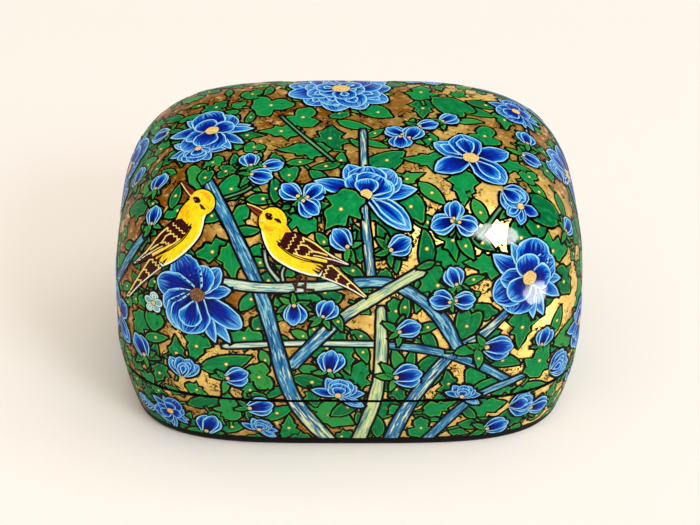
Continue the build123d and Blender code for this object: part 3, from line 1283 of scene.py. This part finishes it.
def dome_profile(low, spacing, inset=0.0):
    """Shares of the plan and heights, from just off the crown down to a low edge."""
    arch = superellipse(np.linspace(crown_start, 0, fine_points), dome_square)
    points = arch * [1, height - inset - widest] + [0, widest]
    below = np.linspace(widest, low, 12)[1:]
    points = np.vstack([points, np.stack([side_share(below), below], axis=1)])
    return even_line(points * [mean_half, 1], spacing) / [mean_half, 1]


def side_profile(high, low, spacing):
    """Shares of the plan and heights down the side of the base."""
    heights = np.linspace(high, low, max(int((high - low) / spacing), 1) + 1)
    return np.stack([side_share(heights), heights], axis=1)


def ringed_mesh(name, rings, plan, flip=False):
    """A mesh through level rings, closed at the first, with its bake map laid out like the plan."""
    number = len(plan)
    middle = rings[0].mean(axis=0)
    points = np.vstack([*rings, middle])
    faces = [(here, on, across, beside) for here, beside, across, on in round_faces(len(rings), number)]
    faces += [(len(points) - 1, index, (index + 1) % number) for index in range(number)]
    if flip:
        faces = [face[::-1] for face in faces]
    steps = [np.linalg.norm(after - before, axis=1).mean() for before, after in zip(rings, rings[1:])]
    reaches = np.cumsum([np.linalg.norm(rings[0][0] - middle), *steps])
    layout = np.vstack([*(plan * reach for reach in reaches), [0, 0]])
    return new_mesh(name, points, faces, 0.5 + map_reach * layout / np.abs(layout).max())


def ring(plan, share, z, inset=0.0):
    """One level ring: the plan outline at a share of its size, less an inset."""
    sizes = np.array([half_length * share - inset, half_width * share - inset])
    return np.column_stack([plan * sizes, np.full(len(plan), z)])


def sunk(rings):
    """The rings moved under the finished skin by the ground's depth."""
    return [points - outward(points) * ground_depth for points in rings]


# ---- Materials ----

# How every painted surface takes the light, under and on its lacquer
lacquered = {
    "Metallic": 0.0,
    "Coat Weight": 0.27,
    "Coat Roughness": 0.04,
    "Coat IOR": 1.45,
    "Specular IOR Level": 0.0,
}

# The lacquer's own gentle waves, and the finer ripples on them
wave_scale = 55.0
ripple_scale = 330.0
ripple_share = 0.12
wave_distance = 0.0004
wave_strength = 0.35


def sum_node(operation):
    """A method that puts this operation's node after a value."""
    return lambda value, other=0.0: value.paint.math(operation, value, other)


class Value:
    """What nodes work out for each point. A sum, comparison or fade of it is one more node."""

    __add__ = sum_node("ADD")
    __sub__ = sum_node("SUBTRACT")
    __mul__ = sum_node("MULTIPLY")
    __truediv__ = sum_node("DIVIDE")
    __pow__ = sum_node("POWER")
    __gt__ = sum_node("GREATER_THAN")
    __lt__ = sum_node("LESS_THAN")
    __abs__ = sum_node("ABSOLUTE")

    def __init__(self, paint, socket):
        self.paint = paint
        self.socket = socket

    def fade(self, start, end, most=1.0):
        """0 at start, the most at end, smooth between."""
        inputs = {"Value": self, "From Min": start, "From Max": end, "To Max": most}
        return self.paint.value("ShaderNodeMapRange", inputs, interpolation_type="SMOOTHSTEP")


class Paint:
    """A node material with one surface, and short words for its nodes."""

    def __init__(self, name, surface_facts):
        self.material = bpy.data.materials.new(name)
        self.material.use_nodes = True
        self.tree = self.material.node_tree
        self.surface = self.tree.nodes["Principled BSDF"].inputs
        for key, value in surface_facts.items():
            self.give(self.surface[key], value)

    def give(self, socket, value):
        """Sets a socket, or links what other nodes work out to it."""
        if isinstance(value, Value):
            self.tree.links.new(value.socket, socket)
        else:
            socket.default_value = value

    def node(self, kind, inputs=None, **settings):
        """The outputs of a new node. Its inputs are numbers, colours or values, by name or place."""
        made = self.tree.nodes.new(kind)
        for key, value in settings.items():
            setattr(made, key, value)
        for key, value in (inputs or {}).items():
            self.give(made.inputs[key], value)
        return made.outputs

    def value(self, kind, inputs=None, output=0, **settings):
        """What one output of a new node gives."""
        return Value(self, self.node(kind, inputs, **settings)[output])

    def facts(self, *names):
        """What each point knows under these names."""
        return [self.value("ShaderNodeAttribute", output="Fac", attribute_name=name) for name in names]

    def math(self, operation, first, second=0.0, third=0.0):
        """One sum."""
        return self.value("ShaderNodeMath", {0: first, 1: second, 2: third}, operation=operation)

    def over(self, colour, *layers):
        """A colour with others laid over it in turn, each given after its share."""
        for share, laid_on in layers:
            colour = self.value("ShaderNodeMix", {0: share, 6: colour, 7: laid_on}, 2, data_type="RGBA")
        return colour

    def noise(self, vector, scale, detail=2.0, roughness=0.5, distortion=0.0):
        """Smooth noise about 0.5, at a vector or at three numbers."""
        if isinstance(vector, tuple):
            vector = self.value("ShaderNodeCombineXYZ", dict(enumerate(vector)))
        inputs = {
            "Vector": vector, "Scale": scale, "Detail": detail,
            "Roughness": roughness, "Distortion": distortion,
        }
        return self.value("ShaderNodeTexNoise", inputs, "Fac")

    def place(self):
        """Where on the object the point is, in metres."""
        return self.value("ShaderNodeTexCoord", output="Object")

    def distance(self, place, other):
        """How far the point is from another place."""
        return self.value("ShaderNodeVectorMath", {0: place, 1: other}, "Value", operation="DISTANCE")

    def bump(self, height, distance, strength, **under):
        """A relief, over the one under it."""
        inputs = {"Height": height, "Distance": distance, "Strength": strength, **under}
        return self.value("ShaderNodeBump", inputs)

    def finish(self, colour, relief, distance, strength):
        """The material in this colour, with the brush's relief, and the lacquer over that."""
        self.give(self.surface["Base Color"], colour)
        self.give(self.surface["Normal"], self.bump(relief, distance, strength))
        faint = self.bump(relief, distance * 0.5, strength)
        place = self.place()
        ripples = self.noise(place, ripple_scale, 2.0) * ripple_share
        waves = self.noise(place, wave_scale, 1.0) + ripples
        lacquer = self.bump(waves, wave_distance, wave_strength, Normal=faint)
        self.give(self.surface["Coat Normal"], lacquer)
        return self.material


def rgb(red, green, blue):
    """A colour as it is seen on a screen, 0 to 255, made linear."""
    values = []
    for value in (red, green, blue):
        share = value / 255
        values.append(share / 12.92 if share <= 0.04045 else ((share + 0.055) / 1.055) ** 2.4)
    return (*values, 1.0)


ink = rgb(6, 5, 5)


def leaf_material():
    """Green leaves with a thin yellow-green edge and a black keyline. A tone over 2 is a pale dot."""
    paint = Paint("leaf_paint", {**lacquered, "Roughness": 0.42})
    edge, tone, seed, across, along = paint.facts("edge", "tone", "seed", "across", "along")
    brush = paint.noise((across * 2.2, along, seed), 2.6, 3.0, 0.6)
    worn = paint.noise((across, along, seed), 3.0, 2.0)
    rib = (abs(across) + brush * 0.06).fade(0.075, 0.04) * along.fade(0.6, 0.3)
    line = edge.fade(0.38, 0.2) * worn.fade(0.38, 0.5)
    green = paint.over(
        rgb(0, 104, 58),
        (tone.fade(0.0, 0.8), rgb(8, 140, 72)),
        (tone.fade(0.82, 0.98), rgb(52, 150, 62)),
        (brush.fade(0.5, 0.75), rgb(26, 156, 88)),
        (brush.fade(0.45, 0.25), rgb(4, 82, 52)),
        (rib * 0.14, rgb(80, 176, 80)),
        (line * 0.8, rgb(96, 178, 50)),
    )
    dot = paint.over(rgb(150, 160, 50), (edge.fade(0.05, 0.2), rgb(230, 236, 140)))
    keyline = paint.over(ink, (tone > 2.0, rgb(120, 96, 20)))
    colour = paint.over(keyline, (edge.fade(-0.02, 0.05), paint.over(green, (tone > 2.0, dot))))
    return paint.finish(colour, brush, 0.00006, 0.5)


def petal_material():
    """Petals: a crisp pale edge, pale streaks drawn in from it, and a deep blue heart.

    A tone over 4 is a cream middle, over 5.5 a brown one, over 6.5 a petal with an aqua edge, and
    over 8 black.
    """
    paint = Paint("petal_paint", {**lacquered, "Roughness": 0.38})
    edge, tone, seed, fold, across, along = paint.facts("edge", "tone", "seed", "fold", "across", "along")
    depth = edge - (edge > fold) * fold
    streak_place = (across * 6.0, along * 0.9, seed)
    streaks = paint.noise(streak_place, 1.9, 3.0, 0.65)
    fine = paint.noise(streak_place, 5.0, 2.0, 0.6)
    reach = (along**1.8 * 4.6 + 0.3) * streaks.fade(0.36, 0.62) + 0.3
    share = depth / reach + (fine - 0.5) * 0.9
    deep = paint.over(
        rgb(0, 4, 66),
        (along.fade(0.1, 0.55), rgb(0, 22, 138)),
        (tone.fade(0.3, 1.0) * along.fade(0.3, 0.9), rgb(0, 52, 178)),
        (fine.fade(0.56, 0.7) * 0.5, rgb(4, 78, 198)),
    )
    middle = paint.over(rgb(0, 66, 182), (share.fade(0.95, 1.4), deep))
    tip = along.fade(0.62, 0.98) * streaks.fade(0.5, 0.58)
    lit = paint.over(
        rgb(6, 134, 224),
        (share.fade(0.5, 0.9), middle),
        (tip * 0.8, rgb(136, 208, 240)),
    )
    brim = depth - streaks.fade(0.42, 0.62) * 0.34
    aqua = paint.over(rgb(222, 242, 236), (depth.fade(0.25, 0.5), rgb(120, 186, 196)))
    petals = paint.over(rgb(162, 226, 252), (brim.fade(0.16, 0.44), lit), (tone > 6.5, aqua))
    heart = paint.noise((across, along, seed), 4.0, 2.0).fade(0.4, 0.62)
    brown = paint.over(rgb(96, 58, 34), (heart, rgb(150, 110, 74)))
    yolk = paint.over(rgb(226, 172, 84), (heart, rgb(246, 226, 156)), (tone > 5.5, brown))
    colour = paint.over(petals, ((tone > 4.0) * (tone < 6.5), yolk))
    colour = paint.over(rgb(4, 10, 60), (edge.fade(-0.02, 0.04), colour), (tone > 8.0, ink))
    return paint.finish(colour, streaks, 0.00006, 0.5)


def wood_material():
    """Branches: blue-grey and pale streaks along them, with dark edges.

    Their tone runs from cool at 0 to warm at 1. Over 1.5 they are pale, and over 2.5 green stalks.
    """
    paint = Paint("branch_paint", {**lacquered, "Roughness": 0.42})
    edge, tone, seed, across, along = paint.facts("edge", "tone", "seed", "across", "along")
    sideways = across * 1.3
    streaks = paint.noise((sideways, along * 0.045, seed), 2.2, 3.0, 0.62)
    other = paint.noise((sideways, along * 0.07, seed + 9.0), 2.4, 2.5, 0.6)
    cool = paint.over(
        rgb(22, 88, 146),
        (streaks.fade(0.46, 0.5), rgb(58, 134, 182)),
        (other.fade(0.53, 0.57), rgb(146, 204, 216)),
        (streaks.fade(0.38, 0.34), rgb(10, 46, 92)),
    )
    warm = paint.over(
        rgb(124, 172, 150),
        (streaks.fade(0.45, 0.5), rgb(208, 222, 150)),
        (other.fade(0.56, 0.6), rgb(232, 236, 190)),
        (streaks.fade(0.37, 0.33), rgb(44, 100, 122)),
    )
    silver = paint.over(
        rgb(104, 168, 176),
        (streaks.fade(0.44, 0.5), rgb(208, 230, 198)),
        (other.fade(0.54, 0.6), rgb(232, 246, 218)),
    )
    stalk = paint.over(rgb(52, 134, 62), (streaks.fade(0.44, 0.54), rgb(124, 186, 108)))
    blend = tone + (other - 0.5) * 1.2
    colour = paint.over(
        cool,
        (blend.fade(0.38, 0.5), warm),
        (tone > 1.5, silver),
        (tone > 2.5, stalk),
        (edge.fade(0.35, 0.1) * 0.75, rgb(24, 62, 92)),
    )
    colour = paint.over(ink, (edge.fade(-0.03, 0.05), colour))
    return paint.finish(colour, streaks, 0.00008, 0.5)


def bird_material():
    """Birds: each part's own colour, worked over with a small brush.

    A tone of 1 is feathers, 2 the body, which is pale below, and 3 the head.
    """
    paint = Paint("bird_paint", {**lacquered, "Roughness": 0.4})
    edge, tone, seed, across, along = paint.facts("edge", "tone", "seed", "across", "along")
    brush = paint.noise((across * 1.5, along * 4.0, seed), 2.6, 3.0, 0.6)
    plumage = tone > 1.5
    body = plumage * (tone < 2.5)
    shade = brush + across * body * 0.16
    belly = body * (across < 0.0) * edge.fade(0.8, 0.45)
    feather = paint.math("COMPARE", tone, 1.0, 0.2) * brush.fade(0.55, 0.72)
    colour = paint.over(
        paint.value("ShaderNodeAttribute", output="Color", attribute_name="paint"),
        (plumage * shade.fade(0.5, 0.66) * 0.75, rgb(244, 160, 4)),
        (plumage * shade.fade(0.42, 0.34), rgb(255, 236, 30)),
        (belly, rgb(255, 250, 226)),
        (feather * 0.5, rgb(120, 44, 22)),
    )
    colour = paint.over(ink, (edge.fade(-0.08, -0.02), colour))
    return paint.finish(colour, brush, 0.00006, 0.5)


# Where the painted sheen on the gold is brightest, in metres, and how metallic the gold is
painted_sheen_middle = (0.036, -0.044, 0.076)
gold_metal = 0.42


def ground_material():
    """Gold paint worked over with brown, with black specks, the seam's line, the black foot, and painted
    reflection and sheen on the gold.
    """
    paint = Paint("gold_ground", {**lacquered, "Roughness": 0.4})
    place = paint.place()
    x, _, z = (Value(paint, part) for part in paint.node("ShaderNodeSeparateXYZ", {0: place}))
    # Painted reflection: the gold is painted darker higher up and to the left, and lighter lower down and
    # to the right, up to a cap
    painted_reflection = paint.math("MINIMUM", x * 1.2 - z * 1.6 + 0.118, 0.02)
    # Painted sheen: the gold is painted brighter round a spot on the front right shoulder
    painted_sheen = paint.distance(place, painted_sheen_middle).fade(0.04, 0.012) * 0.16
    # Random clouds of gold, with the painted sheen and the painted reflection added
    cloud_and_sheen = paint.noise(place, 22.0, 3.0, 0.6) + painted_sheen + painted_reflection * 1.8
    grain = paint.noise(place, 420.0, 3.0, 0.7)
    squiggle = paint.noise(place, 360.0, 2.0, 0.5, 1.2)
    sparse = paint.noise(place, 150.0, 1.0).fade(0.51, 0.56)
    specks = abs(squiggle - 0.5).fade(0.045, 0.02) * sparse
    rise = z + (paint.noise(place, 260.0) - 0.5) * 0.0006
    seam_share = abs(rise - seam / 1000).fade(0.0009, 0.0007)
    black = paint.math("MAXIMUM", seam_share, rise.fade(0.0034, 0.0031))
    colour = paint.over(
        rgb(146, 92, 12),
        (cloud_and_sheen.fade(0.38, 0.64), rgb(238, 200, 108)),
        (grain.fade(0.52, 0.74), rgb(252, 226, 140)),
        (grain.fade(0.46, 0.3), rgb(104, 62, 10)),
        (specks, ink),
        (black, ink),
    )
    bare = paint.math("SUBTRACT", 1.0, paint.math("MAXIMUM", black, specks))
    paint.give(paint.surface["Metallic"], bare * gold_metal)
    return paint.finish(colour, grain, 0.00012, 0.6)


def lining_material():
    """Black lacquer laid on with a broad brush, dulled, with faint brown flecks all over."""
    dulled = {"Roughness": 0.5, "Coat Weight": 0.4, "Coat Roughness": 0.22}
    paint = Paint("black_lining", {**lacquered, **dulled})
    place = paint.place()
    stretched = paint.value("ShaderNodeMapping", {"Vector": place, "Scale": (1.0, 6.0, 1.0)})
    strokes = paint.noise(stretched, 60.0, 4.0, 0.6)
    fine = paint.noise(place, 700.0, 2.0)
    colour = paint.over(
        rgb(16, 14, 14),
        (strokes.fade(0.35, 0.7), rgb(34, 30, 28)),
        (fine.fade(0.66, 0.76) * 0.5, rgb(74, 58, 44)),
    )
    return paint.finish(colour, strokes, 0.0002, 0.5)


# ---- The pieces ----

leaf_paint = leaf_material()
petal_paint = petal_material()
wood_paint = wood_material()
bird_paint = bird_material()
ground_paint = ground_material()
lining_paint = lining_material()

fine_plan = plan_shares(1.4)
coarse_plan = plan_shares(2.6)
lid_profile = dome_profile(seam + rim_chamfer, 1.3)
base_profile = side_profile(seam - rim_chamfer, foot_chamfer, 1.2)
tray_profile = side_profile(seam, floor_top, 3.0)
foot_share = 1 - foot_draw_in


def rim_ring(plan, share):
    """The ring at the seam where a shell's ground and its lining meet."""
    return ring(plan, share, seam, rim_chamfer + ground_depth)


# Lid: the painted dome, and the lining of its rim and inside
dome = sunk([ring(fine_plan, share, z) for share, z in lid_profile])
dome.append(rim_ring(fine_plan, lid_profile[-1][0]))
dome_mesh = ringed_mesh("lid_ground", dome, fine_plan)
lid_ground = new_piece("lid_ground", dome_mesh, ground_paint, "lid")
smooth_on_skin(lid_ground.data)
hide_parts("lid_shell")

inside = dome_profile(seam, 3.0, lid_wall)
cavity = [ring(coarse_plan, share, z, lid_wall * share) for share, z in inside]
cavity.append(rim_ring(coarse_plan, lid_profile[-1][0]))
cavity_mesh = ringed_mesh("lid_lining", cavity, coarse_plan, flip=True)
lid_lining = new_piece("lid_lining", cavity_mesh, lining_paint, "lid")
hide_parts("lid_shell")

# Base: the painted side with its underside, and the lining of its rim and tray
under = [ring(fine_plan, foot_share * share, 0.0, foot_chamfer) for share in (0.15, 0.6, 1.0)]
side = sunk([ring(fine_plan, share, z) for share, z in base_profile])
side_rings = [*under, *reversed(side), rim_ring(fine_plan, base_profile[0][0])]
side_mesh = ringed_mesh("base_ground", side_rings, fine_plan, flip=True)
base_ground = new_piece("base_ground", side_mesh, ground_paint, "base")
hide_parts("base_shell")

tray = [ring(coarse_plan, tray_profile[-1][0] * share, floor_top, base_wall) for share in (0.15, 0.6)]
tray += [ring(coarse_plan, share, z, base_wall) for share, z in reversed(tray_profile)]
tray.append(rim_ring(coarse_plan, base_profile[0][0]))
tray_mesh = ringed_mesh("base_lining", tray, coarse_plan)
base_lining = new_piece("base_lining", tray_mesh, lining_paint, "base")
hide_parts("base_shell")

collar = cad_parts["inner_collar"]
collar.data.materials.clear()
collar.data.materials.append(lining_paint)

motifs = {
    "leaves": (leaves, leaf_paint),
    "sepals": (sepals, leaf_paint),
    "branches": (branches, wood_paint),
    "blooms": (blooms, petal_paint),
    "birds": (birds, bird_paint),
}
for motif, (sheets, material) in motifs.items():
    paint_piece(f"lid_{motif}", sheets, material, seam + seam_line, height + 1, "lid")
    if motif != "birds":
        paint_piece(f"base_{motif}", sheets, material, foot_band, seam - seam_line, "base")


# ---- Floor, light and camera ----

pale = rgb(254, 246, 236)
plain_light = rgb(255, 255, 255)
cool_light = rgb(228, 244, 255)
soft_light = rgb(255, 250, 243)

# Distances from the box between which the floor turns to the plain colour, and from the middle of
# the shadow between which it turns partly to it, in metres
even_from = 0.3
even_to = 0.6
shadow_middle = (-0.05, 0.03, 0.0)
bright_from = 0.07
bright_to = 0.15
brightening = 0.55

# The round floor and the low wall at its edge, in metres. The floor lies a little under the foot
stage_reach = 3.0
wall_height = 0.6
stage_sides = 96
floor_drop = 0.0002


def floor_material():
    """The pale stage: lit near the box, and the plain colour itself further off, where it is only seen.

    It also turns partly to the plain colour away from the shadow, which falls to the left.
    """
    matt = {"Base Color": rgb(252, 247, 241), "Roughness": 0.9, "Specular IOR Level": 0.05}
    paint = Paint("pale_floor", matt)
    path = paint.node("ShaderNodeLightPath")
    seen_share = Value(paint, path["Is Camera Ray"])
    for kind in ("Is Glossy Ray", "Is Transmission Ray"):
        seen_share = paint.math("MAXIMUM", seen_share, Value(paint, path[kind]))
    place = paint.value("ShaderNodeNewGeometry", output="Position")
    far_off = paint.distance(place, (0, 0, 0)).fade(even_from, even_to)
    off_shadow = paint.distance(place, shadow_middle).fade(bright_from, bright_to, brightening)
    plain = paint.math("MAXIMUM", far_off, off_shadow)
    lit = Value(paint, paint.tree.nodes["Principled BSDF"].outputs[0])
    glow = paint.value("ShaderNodeEmission", {"Color": pale})
    mixed = paint.value("ShaderNodeMixShader", {"Fac": seen_share * plain, 1: lit, 2: glow})
    paint.give(paint.tree.nodes["Material Output"].inputs["Surface"], mixed)
    return paint.material


turns = np.linspace(0, 2 * pi, stage_sides + 1)[:-1]
circle = np.stack([np.cos(turns), np.sin(turns)], axis=1) * stage_reach
stage_points = [(x, y, z) for z in (0.0, wall_height) for x, y in circle]
stage_faces = [tuple(range(stage_sides))]
for index in range(stage_sides):
    beside = (index + 1) % stage_sides
    stage_faces.append((beside, index, index + stage_sides, beside + stage_sides))
floor_mesh = bpy.data.meshes.new("floor")
floor_mesh.from_pydata(stage_points, [], stage_faces)
floor_mesh.materials.append(floor_material())
floor = bpy.data.objects.new("floor", floor_mesh)
floor.location.z = -floor_drop
bpy.context.scene.collection.objects.link(floor)

lamp_aim = (0.0, 0.0, 0.05)


def softbox(name, place, size, watts, colour=plain_light, mirrored=True, lighting=True, target=lamp_aim):
    """An oval lamp at place, facing target, in metres.

    One that isn't mirrored doesn't show in the lacquer, and one that isn't lighting only shows there.
    """
    lamp = bpy.data.lights.new(name, "AREA")
    lamp.shape = "ELLIPSE"
    lamp.size, lamp.size_y = size
    lamp.energy = watts
    lamp.color = colour[:3]
    lamp_object = bpy.data.objects.new(name, lamp)
    lamp_object.location = place
    direction = Vector(target) - Vector(place)
    lamp_object.rotation_euler = direction.to_track_quat("-Z", "Y").to_euler()
    lamp_object.visible_camera = False
    lamp_object.visible_glossy = mirrored
    lamp_object.visible_diffuse = lighting
    bpy.context.scene.collection.objects.link(lamp_object)


def round_the_box(azimuth, elevation, distance):
    """A place that far from the box's middle."""
    return direction_to(azimuth, elevation) * distance + lamp_aim


glint_place = (0.155, -0.12, 0.014)
glint_target = (0.056, -0.046, 0.055)
softbox("window", round_the_box(39, 34, 2.2), (0.85, 0.68), 15.6, cool_light)
softbox("window_glint", round_the_box(42, 38, 1.29), (0.58, 0.64), 60.0, lighting=False)
softbox("low_glint", glint_place, (0.06, 0.034), 0.31, lighting=False, target=glint_target)
softbox("side", round_the_box(100, 42, 2.4), (1.5, 1.5), 5.0, cool_light, mirrored=False)
softbox("front", round_the_box(-35, 45, 1.6), (1.4, 1.4), 2.6, soft_light, mirrored=False)
softbox("overhead", round_the_box(30, 86, 1.7), (3.2, 3.2), 35.0, soft_light, mirrored=False)

world = bpy.data.worlds.new("studio")
world.use_nodes = True
sky = world.node_tree.nodes["Background"].inputs
sky["Color"].default_value = rgb(255, 226, 196)
sky["Strength"].default_value = 0.22
bpy.context.scene.world = world

sensor_width = 36.0
camera_data = bpy.data.cameras.new("camera")
camera_data.sensor_fit = "HORIZONTAL"
camera_data.sensor_width = sensor_width
camera_data.lens = sensor_width * focal_pixels / photo_width
camera = bpy.data.objects.new("camera", camera_data)
axes = Matrix((turned_right, turned_up, toward)).transposed().to_4x4()
camera.matrix_world = Matrix.Translation(Vector(eye / 1000)) @ axes
bpy.context.scene.collection.objects.link(camera)
bpy.context.scene.camera = camera

bpy.context.scene.view_settings.view_transform = "Standard"
